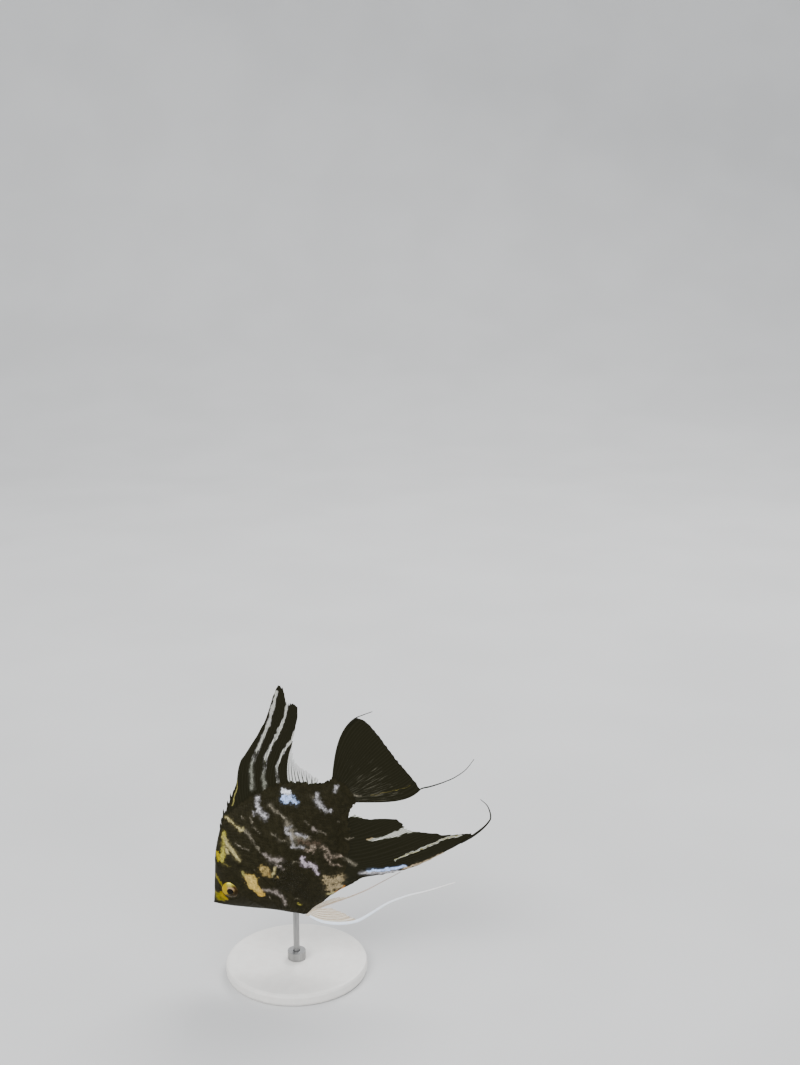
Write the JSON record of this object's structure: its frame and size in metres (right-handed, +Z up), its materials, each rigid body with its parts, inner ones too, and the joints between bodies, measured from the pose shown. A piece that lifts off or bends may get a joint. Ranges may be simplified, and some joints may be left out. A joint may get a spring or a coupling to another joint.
{
  "type": "freshwater angelfish",
  "caption": "Life-size still model of a marbled freshwater angelfish, swimming nose down with long swept fins, held by a rod over a round display stand.",
  "frame": {"origin": "centre of the stand base's underside, straight below the rod", "axes": "+Z up; +X the way the tail points, with the head towards -X; the fish's left side faces -Y"},
  "size_m": [0.1367, 0.07, 0.1499],
  "materials": {
    "dark_scales": "near-black scaled skin with silver, cream and gold marbling, satin with a slight metallic sheen",
    "gold_plate": "smooth gill plate, dark with gold and lavender-silver patches",
    "eye": "glossy eye with a gold iris and a round black pupil",
    "black_fin": "ribbed fin membrane, black with clear and silver stripes",
    "clear_fin": "translucent ribbed fin membrane with pale rays",
    "stand_paint": "satin warm grey paint",
    "stand_steel": "brushed stainless steel"
  },
  "bodies": {
    "root": {"head": "dark_scales", "lower_jaw": "dark_scales", "trunk": "dark_scales", "tail_stalk": "dark_scales", "gill_cover_left": "gold_plate", "gill_cover_right": "gold_plate", "eye_left": "eye", "eye_right": "eye", "dorsal_fin": "black_fin", "anal_fin": "black_fin", "caudal_fin": "black_fin", "pelvic_fin_left": "clear_fin", "pelvic_fin_right": "clear_fin", "pectoral_fin_left": "clear_fin", "pectoral_fin_right": "clear_fin", "stand_base": "stand_paint", "stand_collar": "stand_steel", "stand_rod": "stand_steel"}
  },
  "joints": []
}
